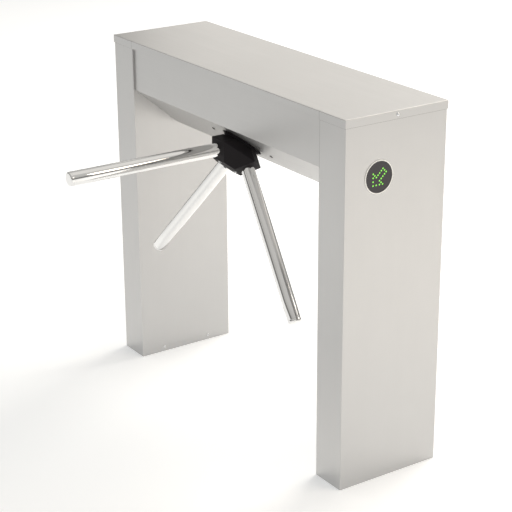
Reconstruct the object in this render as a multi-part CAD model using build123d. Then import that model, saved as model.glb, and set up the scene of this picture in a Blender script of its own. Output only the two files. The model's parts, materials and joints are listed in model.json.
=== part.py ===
from build123d import *

import math
import os

# Bridge tripod turnstile with a visitor-counting mechanism, in millimetres.
#
# Frame: +X runs along the beam, -Y faces the passage that the arms bar, +Z is up, and the origin is
# on the floor, midway between the two legs. The tripod turns about an axis that leans TILT degrees
# below the horizontal, square to the slanted lower face of the beam. Everything on that axis is
# modelled in the axis frame: x as above, y up the slanted face, z outwards along the axis.

# Overall sizes
LENGTH = 1125.0
DEPTH = 322.0
HEIGHT = 1000.0
SHEET = 1.5
BEND = 2.0
LID_SKIRT = 22.0
LID_GAP = 0.5
LEG_WIDTH = 105.0

# The cabinet body under the lid
BODY_X = LENGTH / 2 - SHEET - LID_GAP
BODY_Y = DEPTH / 2 - SHEET - LID_GAP
BODY_TOP = HEIGHT - SHEET - LID_GAP
LEG_INNER_X = BODY_X - LEG_WIDTH
LEG_CENTRE_X = BODY_X - LEG_WIDTH / 2

# The beam between the legs
BEAM_RECESS = 5.0
BEAM_END_GAP = 0.3
BRACKET_THICK = 3.0
BEAM_X = LEG_INNER_X - BEAM_END_GAP
BEAM_Y = BODY_Y - BEAM_RECESS
SLANT_TOP = 854.0
SLANT_DEPTH = 141.0
TILT = 50.0
SIN_T = math.sin(math.radians(TILT))
COS_T = math.cos(math.radians(TILT))
SLANT_DROP = SLANT_DEPTH * COS_T / SIN_T
BEAM_BOTTOM = SLANT_TOP - SLANT_DROP

# The tripod axis
AXIS_OUT = (0, -COS_T, -SIN_T)
AXIS_POINT = (0, -BEAM_Y + SLANT_DEPTH / 2, SLANT_TOP - SLANT_DROP / 2)
AXIS_FRAME = Plane(origin=AXIS_POINT, x_dir=(1, 0, 0), z_dir=AXIS_OUT)

# Hub and arms, in the axis frame
ARMS_MEET_Z = 8.5
ARM_RADIUS = 19.0
ARM_WALL = 1.5
ARM_REACH = 527.0
ARM_CAP = 8.0
SOCKET_REACH = 73.0
SOCKET_HALF = 30.0
SOCKET_BOTTOM = 45.0
HUB_DISC_RADIUS = 58.0
HUB_OPENING_RADIUS = 62.0
HUB_BACK_Z = -8.0
HUB_FOOT_Z = 8.0
SHAFT_RADIUS = 12.5
RUNNING_FIT = 0.06

# Mechanism levels along the axis, negative inside the beam
PLATE_THICK = 6.0
FRONT_PLATE_Z = -30.0
CAM_Z = -54.0
LOCK_Z = -66.0
GEAR_Z = -78.0
DISC_THICK = 8.0
REAR_PLATE_Z = -90.0
COUNTER_Z = -108.0
COUNTER_THICK = 1.5
SHAFT_END_Z = -122.0
BEARING_RADIUS = 26.0
BEARING_WIDTH = 15.0
BOSS_RADIUS = 34.0
BOSS_LENGTH = 11.0
PLATE_X = 125.0
PLATE_LOW = -74.0
PLATE_HIGH = 98.0
POSTS = [(-108, -60), (108, -60), (-108, 84), (108, 84)]
POST_RADIUS = 6.0
MOUNT_X = 113.0
MOUNT_Y = 25.0
MOUNT_POINTS = [(x, y) for x in (-MOUNT_X, MOUNT_X) for y in (-MOUNT_Y, MOUNT_Y)]
MOUNT_BOLT_RADIUS = 3.0

# Gear pair
MODULE = 2.0
GEAR_TEETH = 54
PINION_TEETH = 18
GEAR_CENTRES = MODULE * (GEAR_TEETH + PINION_TEETH) / 2

# Lock and index
LOCK_CORE = 40.0
LOCK_LUG = 50.0
LUG_HALF_ANGLE = 14.0
PAWL_PIVOT = (74.0, -34.0)
PLUNGER_RADIUS = 6.0
SOLENOID_X = PAWL_PIVOT[0] + 24
CAM_MEAN = 34.0
CAM_RISE = 6.0
ROLLER_RADIUS = 9.0
ROLLER_Y = -(CAM_MEAN + CAM_RISE + ROLLER_RADIUS + 0.5)
LEVER_PIVOT = (58.0, -56.0)

# Direction indicators on the leg ends
LAMP_Y = -54.0
LAMP_Z = 839.0
LENS_RADIUS = 41.0
BEZEL_RADIUS = 43.5
LED_RADIUS = 2.4
LED_PITCH = 5.0
LED_TIP = (-18.0, -20.0)

# Floor fixings
BASE_THICK = 5.0
BASE_FLANGE = 30.0
ANCHOR_RADIUS = 6.0
ANCHOR_Y = 110.0
CABLE_RADIUS = 20.0
BASE_SCREW_Y = 80.0
BASE_SCREW_Z = 15.0


def save(shape, name):
    export_step(shape, f"parts/{name}.step")
    print(name, len(shape.solids()))


def block(x0, x1, y0, y1, z0, z1):
    """An upright box between two corners."""
    return Pos((x0 + x1) / 2, (y0 + y1) / 2, (z0 + z1) / 2) * Box(abs(x1 - x0), abs(y1 - y0), abs(z1 - z0))


def rod(radius, z0, z1, x=0.0, y=0.0):
    """A cylinder along z."""
    return Pos(x, y, (z0 + z1) / 2) * Cylinder(radius, abs(z1 - z0))


def rod_x(radius, x0, x1, y, z):
    """A cylinder along x."""
    return Pos((x0 + x1) / 2, y, z) * Rot(0, 90, 0) * Cylinder(radius, abs(x1 - x0))


def rod_y(radius, y0, y1, x, z):
    """A cylinder along y."""
    return Pos(x, (y0 + y1) / 2, z) * Rot(90, 0, 0) * Cylinder(radius, abs(y1 - y0))


def plate(points, z0, z1):
    """A flat plate with that outline, between two levels."""
    return Pos(0, 0, z0) * extrude(make_face(Polyline(*points, close=True)), z1 - z0)


def prism_x(points, x0, x1):
    """A prism along x with an outline given in y and z."""
    face = Plane.YZ * make_face(Polyline(*points, close=True))
    return Pos(x0, 0, 0) * extrude(face, x1 - x0, dir=(1, 0, 0))


def group(shapes):
    """Several separate solids as one node."""
    return Compound(children=[s for shape in shapes for s in shape.solids()])


def on_axis(shape):
    """Carries a shape from the axis frame to the part's frame."""
    return AXIS_FRAME.location * shape


def other_side(shape):
    """The mirror image across the middle of the beam."""
    return mirror(shape, about=Plane.YZ)


# ---------------------------------------------------------------- legs

def leg_shell():
    """Right leg: front, end and back walls folded from one sheet, with the lamp hole and lid notch."""
    inner = LEG_INNER_X + SHEET
    outer = block(inner, BODY_X, -BODY_Y, BODY_Y, 0, BODY_TOP)
    outer = fillet(outer.edges().filter_by(Axis.Z).group_by(Axis.X)[-1], BEND)
    hollow = block(inner - 1, BODY_X - SHEET, -BODY_Y + SHEET, BODY_Y - SHEET, -1, BODY_TOP + 1)
    hollow = fillet(hollow.edges().filter_by(Axis.Z).group_by(Axis.X)[-1], BEND - SHEET)
    lamp = rod_x(LENS_RADIUS + 1.0, BODY_X - 5, BODY_X + 5, LAMP_Y, LAMP_Z)
    notch = block(BODY_X - 5, BODY_X + 5, -3.2, 3.2, HEIGHT - LID_SKIRT / 2 - 3.2, BODY_TOP + 1)
    return outer - hollow - lamp - notch


def leg_panel():
    """Right leg's inner wall, with a cable window into the beam and screw holes."""
    panel = block(LEG_INNER_X, LEG_INNER_X + SHEET, -BODY_Y, BODY_Y, 0, BODY_TOP)
    panel -= block(LEG_INNER_X - 1, LEG_INNER_X + 5, 20, 120, 790, 940)
    for y in (-BASE_SCREW_Y, BASE_SCREW_Y):
        panel -= rod_x(2.7, LEG_INNER_X - 5, LEG_INNER_X + 5, y, BASE_SCREW_Z)
    for y, z in BRACKET_BOLTS:
        panel -= rod_x(3.2, LEG_INNER_X - 5, LEG_INNER_X + 5, y, z)
    return panel


def base_plate():
    """Right leg's floor plate: anchor holes, a cable hole and an upstand that the leg screws to."""
    x0, x1 = LEG_INNER_X + SHEET, BODY_X - SHEET - 0.5
    y1 = BODY_Y - SHEET - 0.5
    body = block(x0, x1, -y1, y1, 0, BASE_THICK)
    body += block(x0, x0 + 3, -y1, y1, 0, BASE_FLANGE)
    for y in (-ANCHOR_Y, ANCHOR_Y):
        body -= rod(ANCHOR_RADIUS, -1, BASE_THICK + 1, LEG_CENTRE_X, y)
    body -= rod(CABLE_RADIUS, -1, BASE_THICK + 1, LEG_CENTRE_X, 0)
    for y in (-BASE_SCREW_Y, BASE_SCREW_Y):
        body -= rod_x(2.6, x0 - 1, x0 + 5, y, BASE_SCREW_Z)
    return body


def button_screw_x(x, y, z, sign, head=4.75, height=2.6, shank=2.4, length=8.0):
    """Button-head screw whose head stands on the face at x and points along sign times x."""
    profile = make_face(
        [
            Line((0, -length), (shank, -length)),
            Line((shank, -length), (shank, 0)),
            Line((shank, 0), (head, 0)),
            ThreePointArc((head, 0), (head * 0.72, height * 0.72), (head * 0.3, height)),
            Line((head * 0.3, height), (0, height)),
            Line((0, height), (0, -length)),
        ]
    )
    screw = revolve(profile, Axis.Y)
    socket = Pos(0, height, 0) * Rot(90, 0, 0) * extrude(RegularPolygon(head * 0.32, 6), 1.3)
    return Pos(x, y, z) * Rot(0, 0, -90 * sign) * (screw - socket)


def base_screws():
    return group([button_screw_x(LEG_INNER_X, y, BASE_SCREW_Z, -1) for y in (-BASE_SCREW_Y, BASE_SCREW_Y)])


# ---------------------------------------------------------------- beam

BRACKET_BOLTS = [(-125.0, 940.0), (135.0, 960.0), (135.0, 770.0), (20.0, 760.0)]


def beam_outline(inset):
    """Beam cross-section in y and z, taken in from the outside by inset: top front, then round."""
    front_low = SLANT_TOP + inset * math.tan(math.radians(TILT / 2))
    back = SLANT_DEPTH - BEAM_Y + inset * math.tan(math.radians(45 - TILT / 2))
    return [
        (-BEAM_Y + inset, BODY_TOP),
        (-BEAM_Y + inset, front_low),
        (back, BEAM_BOTTOM + inset),
        (BEAM_Y - inset, BEAM_BOTTOM + inset),
        (BEAM_Y - inset, BODY_TOP),
    ]


def edges_along_x(shape, corner):
    """The edges of a shape that run along x through that y and z."""
    return [
        edge for edge in shape.edges().filter_by(Axis.X)
        if math.dist((edge.center().Y, edge.center().Z), corner) < 0.01
    ]


def beam_front_panel():
    """Front, slanted face and bottom, folded from one sheet, with turned-in top and back edges."""
    tl, fl, bk, br, _ = beam_outline(0)
    ti, fi, bi, ri, _ = beam_outline(SHEET)
    lip, upstand = 15.0, 20.0
    outline = [
        (tl[0] + lip, BODY_TOP), tl, fl, bk,
        (br[0] - SHEET, br[1]), (br[0] - SHEET, br[1] + upstand),
        (ri[0] - SHEET, br[1] + upstand), (ri[0] - SHEET, ri[1]),
        bi, fi, (ti[0], BODY_TOP - SHEET), (tl[0] + lip, BODY_TOP - SHEET),
    ]
    panel = prism_x(outline, -BEAM_X, BEAM_X)
    for corner, radius in ((fl, BEND), (bk, BEND), (fi, BEND - SHEET), (bi, BEND - SHEET)):
        panel = fillet(edges_along_x(panel, corner), radius)
    opening = rod(HUB_OPENING_RADIUS, -10, 10)
    holes = [rod(MOUNT_BOLT_RADIUS + 0.2, -10, 10, x, y) for x, y in MOUNT_POINTS]
    for cut in [opening, *holes]:
        panel -= on_axis(cut)
    return panel


def beam_back_panel():
    """Back wall of the beam with a turned-in top edge."""
    y1 = BEAM_Y
    wall = block(-BEAM_X, BEAM_X, y1 - SHEET, y1, BEAM_BOTTOM, BODY_TOP)
    lip = block(-BEAM_X, BEAM_X, y1 - 15, y1, BODY_TOP - SHEET, BODY_TOP)
    return wall + lip


def beam_bracket():
    """Right end plate of the beam, bolted to the leg, with a window for cables."""
    points = [(min(y, BEAM_Y - 2 * SHEET), min(z, BODY_TOP - 6)) for y, z in beam_outline(SHEET)]
    body = prism_x(points, LEG_INNER_X - BRACKET_THICK, LEG_INNER_X)
    body -= block(LEG_INNER_X - 5, LEG_INNER_X + 1, 20, 120, 790, 940)
    for y, z in BRACKET_BOLTS:
        body -= rod_x(3.2, LEG_INNER_X - 5, LEG_INNER_X + 1, y, z)
    return body


def bracket_bolts():
    """M6 bolts and nuts that hold the beam's end plates to the legs."""
    bolts = []
    for y, z in BRACKET_BOLTS:
        head = Pos(LEG_INNER_X - BRACKET_THICK, y, z) * Rot(0, -90, 0) * extrude(RegularPolygon(5.6, 6), 4)
        shank = rod_x(3.0, LEG_INNER_X - BRACKET_THICK, LEG_INNER_X + 9, y, z)
        nut = Pos(LEG_INNER_X + SHEET, y, z) * Rot(0, 90, 0) * extrude(RegularPolygon(5.6, 6), 5)
        bolts.append(head + shank + nut)
    return group(bolts + [other_side(b) for b in bolts])


# ---------------------------------------------------------------- lid

def lid_cover():
    """Top cover with a turned-down skirt all round and a screw hole in each end."""
    lid = block(-LENGTH / 2, LENGTH / 2, -DEPTH / 2, DEPTH / 2, HEIGHT - LID_SKIRT, HEIGHT)
    lid = fillet(lid.edges().filter_by(Axis.Z), 1.5)
    lid = fillet(lid.faces().sort_by(Axis.Z)[-1].edges(), 1.2)
    x1, y1 = LENGTH / 2 - SHEET, DEPTH / 2 - SHEET
    lid -= block(-x1, x1, -y1, y1, HEIGHT - LID_SKIRT - 1, HEIGHT - SHEET)
    lid -= rod_x(2.7, -LENGTH, LENGTH, 0, HEIGHT - LID_SKIRT / 2)
    return lid


def lid_stiffeners():
    """Two channel ribs welded under the lid, inside the legs' line."""
    ribs = []
    for x in (-250, 250):
        rib = block(x - 15, x + 15, -130, 130, HEIGHT - 14, HEIGHT - SHEET)
        rib -= block(x - 13.5, x + 13.5, -131, 131, HEIGHT - 12.5, HEIGHT)
        ribs.append(rib)
    return group(ribs)


def lid_screws():
    """Captive domed screws, one at each end, with the clamp nuts behind the leg's notch."""
    z = HEIGHT - LID_SKIRT / 2
    screw = button_screw_x(LENGTH / 2, 0, z, 1, head=5.2, height=3.0, length=9.0)
    nut = Pos(BODY_X - SHEET - 0.3 - 4, 0, z) * Rot(0, 90, 0) * extrude(RegularPolygon(4.6, 6), 4)
    one = screw + nut
    return group([one, other_side(one)])


# ---------------------------------------------------------------- direction indicators

def arrow_dots():
    """Grid places of the lamps: the outline of an arrow that points down towards the passage."""
    head = [(0, k) for k in (0, 2, 4, 6)] + [(k, 0) for k in (2, 4, 6)]
    barbs = [(1, 5), (5, 1)]
    stem = [(2 + k, 4 + k) for k in range(5)] + [(4 + k, 2 + k) for k in range(5)]
    tail = [(7, 7)]
    return [
        (LAMP_Y + LED_TIP[0] + LED_PITCH * i, LAMP_Z + LED_TIP[1] + LED_PITCH * j)
        for i, j in head + barbs + stem + tail
    ]


def indicator_bezel():
    """Thin ring that frames the lens, with a sleeve into the leg."""
    x = BODY_X
    ring = rod_x(BEZEL_RADIUS, x, x + 1.6, LAMP_Y, LAMP_Z) + rod_x(LENS_RADIUS + 0.8, x - 14, x, LAMP_Y, LAMP_Z)
    return ring - rod_x(LENS_RADIUS, x - 20, x + 5, LAMP_Y, LAMP_Z)


def indicator_lens():
    """Dark lens, drilled where the lamps show."""
    lens = rod_x(LENS_RADIUS, BODY_X - 3, BODY_X + 1.0, LAMP_Y, LAMP_Z)
    for y, z in arrow_dots():
        lens -= rod_x(LED_RADIUS + 0.05, BODY_X - 10, BODY_X + 5, y, z)
    return lens


def indicator_board():
    """Round circuit board that carries the lamps."""
    return rod_x(LENS_RADIUS, BODY_X - 11, BODY_X - 9.4, LAMP_Y, LAMP_Z)


def indicator_leds():
    """Lamps with domed tips, seated on the board."""
    lamps = []
    for y, z in arrow_dots():
        body = rod_x(LED_RADIUS, BODY_X - 9.4, BODY_X + 0.9, y, z)
        tip = body.edges().filter_by(GeomType.CIRCLE).sort_by(Axis.X)[-1]
        lamps.append(fillet(tip, 0.9))
    return group(lamps)


# ---------------------------------------------------------------- hub and arms

def arm_plane(k):
    """Frame of arm k: z along the arm from the point where the arms meet, x around the axis."""
    turn = math.radians(90 + 120 * k)
    direction = (SIN_T * math.cos(turn), SIN_T * math.sin(turn), COS_T)
    around = (math.sin(turn), -math.cos(turn), 0)
    return Plane(origin=(0, 0, ARMS_MEET_Z), x_dir=around, z_dir=direction)


def hub_section(radius, half, z):
    """Six-sided section of the hub: a flat of width 2 half at that radius for each arm."""
    points = []
    for k in range(3):
        turn = math.radians(90 + 120 * k)
        out = (math.cos(turn) * radius, math.sin(turn) * radius)
        for side in (half, -half):
            points.append((out[0] + side * math.sin(turn), out[1] - side * math.cos(turn)))
    return Pos(0, 0, z) * make_face(Polyline(*points, close=True))


def socket_edge(side):
    """Radius and level of the outer (+1) or front (-1) edge of a socket face."""
    radius = SOCKET_REACH * SIN_T + side * SOCKET_HALF * COS_T
    level = ARMS_MEET_Z + SOCKET_REACH * COS_T - side * SOCKET_HALF * SIN_T
    return radius, level


def hub():
    """Cast hub: a grooved disc in the beam's opening and a faceted head with three arm sockets."""
    wide, wide_z = socket_edge(1)
    narrow, narrow_z = socket_edge(-1)
    foot = wide - (wide_z - HUB_FOOT_Z) * SIN_T / COS_T
    low = loft([hub_section(foot, SOCKET_HALF, HUB_FOOT_Z), hub_section(wide, SOCKET_HALF, wide_z)], ruled=True)
    high = loft([hub_section(wide, SOCKET_HALF, wide_z), hub_section(narrow, SOCKET_HALF, narrow_z)], ruled=True)
    head = low + high
    head = fillet(head.edges(), 2.5)
    body = rod(HUB_DISC_RADIUS, HUB_BACK_Z, 1.5) + head + rod(40, HUB_FOOT_Z, HUB_FOOT_Z + 4)
    for z0, z1, radius in ((1.5, 3, 52), (3, 5, 55), (5, 6.5, 49), (6.5, 9, 51)):
        body += rod(radius, z0, z1)
    for k in range(3):
        body -= arm_plane(k).location * rod(ARM_RADIUS + 0.05, SOCKET_BOTTOM, SOCKET_REACH + 60)
        body -= clamp_screw_place(k) * rod(3.05, -16, 20)
    body -= rod(SHAFT_RADIUS + 0.03, HUB_BACK_Z - 1, 32)
    return body


def clamp_screw_place(k):
    """Where arm k's clamp screw stands on the hub's front face."""
    turn = math.radians(90 + 120 * k)
    _, front = socket_edge(-1)
    return Pos(28 * math.cos(turn), 28 * math.sin(turn), front)


def clamp_screws():
    """Cap screws on the hub's front face, one for each arm."""
    screws = []
    for k in range(3):
        screw = rod(3.0, -14, 0) + rod(5.0, 0, 3.6)
        screw -= Pos(0, 0, 1.8) * extrude(RegularPolygon(2.6, 6), 3)
        screws.append(clamp_screw_place(k) * screw)
    return group(screws)


def arm_tube(k):
    """Polished tube of arm k."""
    end = ARM_REACH - ARM_CAP
    tube = rod(ARM_RADIUS, SOCKET_BOTTOM, end) - rod(ARM_RADIUS - ARM_WALL, SOCKET_BOTTOM - 1, end + 1)
    return arm_plane(k).location * tube


def arm_cap(k):
    """Rounded plug in the end of arm k."""
    end = ARM_REACH - ARM_CAP
    cap = rod(ARM_RADIUS, end, ARM_REACH)
    cap = fillet(cap.edges().filter_by(GeomType.CIRCLE).sort_by(Axis.Z)[-1], 4.5)
    cap += rod(ARM_RADIUS - ARM_WALL - 0.1, end - 22, end)
    return arm_plane(k).location * cap


# ---------------------------------------------------------------- shaft and what turns with it

def main_shaft():
    """Shaft with a flange behind the hub and a threaded rear end."""
    shaft = rod(SHAFT_RADIUS, SHAFT_END_Z, 30) + rod(28, HUB_BACK_Z - 6, HUB_BACK_Z)
    return chamfer(shaft.edges().filter_by(GeomType.CIRCLE).sort_by(Axis.Z)[0], 1.0)


def polar(radius, degrees):
    return (radius * math.cos(math.radians(degrees)), radius * math.sin(math.radians(degrees)))


def index_cam():
    """Three-lobed cam; its hollows are the rest positions of the arms."""
    steps = 72
    points = []
    for i in range(steps):
        angle = 360 * i / steps
        points.append(polar(CAM_MEAN - CAM_RISE * math.cos(math.radians(3 * (angle - 270))), angle))
    face = make_face(Spline(*points, periodic=True))
    return Pos(0, 0, CAM_Z) * extrude(face, DISC_THICK) - rod(SHAFT_RADIUS, CAM_Z - 1, CAM_Z + 20)


def lock_disc():
    """Disc with three lugs that the pawls stop against."""
    disc = rod(LOCK_CORE, LOCK_Z, LOCK_Z + DISC_THICK)
    for k in range(3):
        middle = 90 + 120 * k
        wedge = [(0, 0)] + [polar(LOCK_LUG, middle + a) for a in (-LUG_HALF_ANGLE, 0, LUG_HALF_ANGLE)]
        disc += plate(wedge, LOCK_Z, LOCK_Z + DISC_THICK)
    return disc - rod(SHAFT_RADIUS, LOCK_Z - 1, LOCK_Z + 20)


def gear_face(teeth, first, backlash=0.25):
    """Involute gear outline; first is the angle in degrees of one tooth's middle."""
    pitch, pressure = MODULE * teeth / 2, math.radians(20)
    base, tip, root = pitch * math.cos(pressure), pitch + 0.9 * MODULE, pitch - 1.2 * MODULE
    half_at_pitch = math.pi / (2 * teeth) - backlash / (2 * pitch)

    def half_angle(radius):
        flank = math.acos(min(1.0, base / radius))
        return half_at_pitch + (math.tan(pressure) - pressure) - (math.tan(flank) - flank)

    radii = [root] + [max(base, root) + (tip - max(base, root)) * t for t in (0, 0.3, 0.65, 1.0)]
    points = []
    for n in range(teeth):
        middle = math.radians(first) + 2 * math.pi * n / teeth
        sides = [(r, half_angle(max(r, base))) for r in radii]
        for r, half in sides:
            points.append((r * math.cos(middle - half), r * math.sin(middle - half)))
        for r, half in reversed(sides):
            points.append((r * math.cos(middle + half), r * math.sin(middle + half)))
    unique = [p for i, p in enumerate(points) if math.dist(p, points[i - 1]) > 1e-4]
    return make_face(Polyline(*unique, close=True))


def main_gear():
    """Large gear on the shaft that drives the damper."""
    gear = Pos(0, 0, GEAR_Z) * extrude(gear_face(GEAR_TEETH, 90), DISC_THICK)
    gear -= rod(SHAFT_RADIUS, GEAR_Z - 1, GEAR_Z + 20)
    for k in range(6):
        x, y = polar(32, 60 * k)
        gear -= rod(9, GEAR_Z - 1, GEAR_Z + 20, x, y)
    return gear


def shaft_spacers():
    """Collars that keep the cam, lock disc, gear and counter disc apart on the shaft."""
    gaps = [
        (CAM_Z + DISC_THICK, FRONT_PLATE_Z - BOSS_LENGTH - 0.2),
        (LOCK_Z + DISC_THICK, CAM_Z),
        (GEAR_Z + DISC_THICK, LOCK_Z),
        (REAR_PLATE_Z + PLATE_THICK + 0.3, GEAR_Z),
        (COUNTER_Z + COUNTER_THICK, REAR_PLATE_Z - BOSS_LENGTH - 0.3),
    ]
    return group([rod(17, a, b) - rod(SHAFT_RADIUS, a - 1, b + 1) for a, b in gaps])


def counter_disc():
    """Thin slotted disc that the optical sensor reads to count each third of a turn."""
    disc = rod(34, COUNTER_Z, COUNTER_Z + COUNTER_THICK) - rod(SHAFT_RADIUS, COUNTER_Z - 1, COUNTER_Z + 5)
    for k in range(12):
        disc -= Rot(0, 0, 30 * k + 15) * block(27, 32, -2.5, 2.5, COUNTER_Z - 1, COUNTER_Z + 3)
    return disc


def shaft_nut():
    nut = Pos(0, 0, COUNTER_Z - 9) * extrude(RegularPolygon(20, 6), 9)
    return nut - rod(SHAFT_RADIUS, SHAFT_END_Z, SHAFT_END_Z + 20)


# ---------------------------------------------------------------- fixed frame of the mechanism

def cage_plate(z, boss_end, half_x):
    """A bearing plate of the mechanism, with its boss towards boss_end."""
    corners = [(-half_x, PLATE_LOW), (half_x, PLATE_LOW), (half_x, PLATE_HIGH), (-half_x, PLATE_HIGH)]
    body = plate(corners, z, z + PLATE_THICK)
    body = fillet(body.edges().filter_by(Axis.Z), 8)
    body += rod(BOSS_RADIUS, z, boss_end)
    body -= rod(BEARING_RADIUS, z - 40, z + 40)
    for x, y in POSTS:
        body -= rod(3.1, z - 1, z + PLATE_THICK + 1, x, y)
    return body


def front_plate():
    body = cage_plate(FRONT_PLATE_Z, FRONT_PLATE_Z - BOSS_LENGTH, PLATE_X)
    for x, y in MOUNT_POINTS:
        body -= rod(MOUNT_BOLT_RADIUS + 0.2, FRONT_PLATE_Z - 1, FRONT_PLATE_Z + 20, x, y)
    for x, y in pivot_points():
        body -= rod(4.0, FRONT_PLATE_Z - 1, FRONT_PLATE_Z + 20, x, y)
    return body


def rear_plate():
    body = cage_plate(REAR_PLATE_Z, REAR_PLATE_Z - BOSS_LENGTH, PLATE_X - 8)
    for x, y in pivot_points():
        body -= rod(4.0, REAR_PLATE_Z - 1, REAR_PLATE_Z + 20, x, y)
    return body - rod(7, REAR_PLATE_Z - 1, REAR_PLATE_Z + 20, 0, GEAR_CENTRES)


def pivot_points():
    return [LEVER_PIVOT, PAWL_PIVOT, (-PAWL_PIVOT[0], PAWL_PIVOT[1])]


def pivot_pins():
    """Pins that the lever and the two pawls turn on, held in both plates."""
    return group([rod(4.0, REAR_PLATE_Z, FRONT_PLATE_Z + PLATE_THICK, x, y) for x, y in pivot_points()])


def bearing(z):
    """Ball bearing drawn as its two races and a ring of balls."""
    outer = rod(BEARING_RADIUS, z, z + BEARING_WIDTH) - rod(22, z - 1, z + 20)
    inner = rod(17, z, z + BEARING_WIDTH) - rod(SHAFT_RADIUS + RUNNING_FIT, z - 1, z + 20)
    balls = []
    for k in range(9):
        x, y = polar(19.5, 40 * k)
        balls.append(Pos(x, y, z + BEARING_WIDTH / 2) * Sphere(2.45))
    return group([outer, inner, *balls])


def cage_posts():
    """Spacer posts between the two plates, with a screw stub through each plate."""
    posts = []
    for x, y in POSTS:
        post = rod(POST_RADIUS, REAR_PLATE_Z + PLATE_THICK, FRONT_PLATE_Z, x, y)
        post += rod(3.0, REAR_PLATE_Z - 1, FRONT_PLATE_Z + PLATE_THICK + 1, x, y)
        for z in (REAR_PLATE_Z - 5, FRONT_PLATE_Z + PLATE_THICK):
            post += Pos(x, y, z) * extrude(RegularPolygon(5.6, 6), 5)
        posts.append(post)
    return group(posts)


def mount_spacers():
    """Tubes that hold the front plate off the slanted sheet."""
    z0, z1 = FRONT_PLATE_Z + PLATE_THICK, -SHEET
    return group([rod(8, z0, z1, x, y) - rod(3.3, z0 - 1, z1 + 1, x, y) for x, y in MOUNT_POINTS])


def mount_bolts():
    """Bolts from the slanted face through the spacers and the front plate, with their nuts."""
    bolts = []
    for x, y in MOUNT_POINTS:
        bolt = rod(MOUNT_BOLT_RADIUS, FRONT_PLATE_Z - 7, 0, x, y) + rod(5.2, 0, 1.6, x, y)
        bolt = fillet(bolt.edges().filter_by(GeomType.CIRCLE).sort_by(Axis.Z)[-1], 1.2)
        bolt -= Pos(x, y, 0.4) * extrude(RegularPolygon(2.4, 6), 3)
        bolt += Pos(x, y, FRONT_PLATE_Z - 5) * extrude(RegularPolygon(5.6, 6), 5)
        bolts.append(bolt)
    return group(bolts)


# ---------------------------------------------------------------- index lever

def lever_plate():
    """Index lever from its pivot to the roller, with a hub at the pivot."""
    z0, z1 = CAM_Z + DISC_THICK + 1.5, CAM_Z + DISC_THICK + 5.5
    (px, py), (rx, ry) = LEVER_PIVOT, (0.0, ROLLER_Y)
    along = math.atan2(ry - py, rx - px)
    sx, sy = -math.sin(along) * 7, math.cos(along) * 7
    body = plate([(px + sx, py + sy), (rx + sx, ry + sy), (rx - sx, ry - sy), (px - sx, py - sy)], z0, z1)
    body += rod(7, z0, z1, rx, ry)
    body += rod(9, z0 - 8, z1, px, py)
    body -= rod(4.06, z0 - 20, z1 + 20, px, py)
    body -= rod(3.0, z0 - 1, z1 + 1, rx, ry)
    return body


def roller_pin():
    z0, z1 = CAM_Z - 1.5, CAM_Z + DISC_THICK + 5.5
    return rod(3.0, z0, z1, 0, ROLLER_Y) + rod(4.5, z0 - 1.5, z0, 0, ROLLER_Y)


def cam_roller():
    return rod(ROLLER_RADIUS, CAM_Z + 0.2, CAM_Z + 8.2, 0, ROLLER_Y) - rod(3.06, CAM_Z - 1, CAM_Z + 20, 0, ROLLER_Y)


def coil(radius, wire, pitch, turns):
    """A round-wire helical spring along z."""
    path = Helix(pitch=pitch, height=pitch * turns, radius=radius)
    return sweep(Plane(origin=path @ 0, z_dir=path % 0) * Circle(wire), path=path)


def return_springs():
    """The lever's torsion spring on its pin, and a compression spring under each plunger's clevis."""
    lever = Pos(*LEVER_PIVOT, LOCK_Z - 2) * coil(4.95, 0.9, 2.1, 6)
    push = Pos(SOLENOID_X, 0, LOCK_Z + DISC_THICK / 2) * Rot(90, 0, 0) * Pos(0, 0, 0.62) * coil(7.0, 0.6, 2.3, 6)
    return group([lever, push, other_side(push)])


# ---------------------------------------------------------------- locks, right-hand side

def pawl():
    """Right pawl: a nose towards the lock disc and a slotted tail that the plunger moves."""
    px, py = PAWL_PIVOT
    nose = [(px - 7, py), (px - 12, 6), (px - 21, 6), (px - 22.5, -2), (px - 14, -8), (px - 8, py - 6)]
    tail = [(px - 2, py - 8), (px + 34, py - 6), (px + 34, py + 6), (px, py + 8)]
    z0, z1 = LOCK_Z, LOCK_Z + DISC_THICK
    body = plate(nose, z0, z1) + plate(tail, z0, z1) + rod(9, z0, z1, px, py)
    body -= rod(4.06, z0 - 1, z1 + 1, px, py)
    return body - block(px + 20, px + 28, py - 2.4, py + 2.4, z0 - 1, z1 + 1)


def solenoid():
    """Right solenoid: a bent steel frame around the coil."""
    x, z = SOLENOID_X, LOCK_Z + DISC_THICK / 2
    frame = block(x - 15, x + 15, 0, 48, z - 14, z + 14)
    frame -= block(x - 12.5, x + 12.5, 2.5, 45.5, z - 15, z + 15)
    frame += block(x - 15, x + 15, 0, 2.5, REAR_PLATE_Z + PLATE_THICK, z)
    frame += block(x - 15, x + 15, 45.5, 48, REAR_PLATE_Z + PLATE_THICK, z)
    return frame - rod_y(PLUNGER_RADIUS + RUNNING_FIT, -1, 60, x, z)


def solenoid_coil():
    x, z = SOLENOID_X, LOCK_Z + DISC_THICK / 2
    return rod_y(12, 2.5, 45.5, x, z) - rod_y(PLUNGER_RADIUS + RUNNING_FIT, -1, 60, x, z)


def plunger():
    """Right plunger with the clevis and pin that reach into the pawl's slot."""
    x, z = SOLENOID_X, LOCK_Z + DISC_THICK / 2
    y = PAWL_PIVOT[1]
    body = rod_y(PLUNGER_RADIUS, y + 12, 40, x, z)
    clevis = block(x - 5, x + 5, y - 6, y + 14, z - 8, z + 8)
    clevis -= block(x - 6, x + 6, y - 7, y + 9, z - 4.4, z + 4.4)
    return body + clevis + rod(2.0, z - 8, z + 8, x, y)


# ---------------------------------------------------------------- damper and counter sensor

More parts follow.
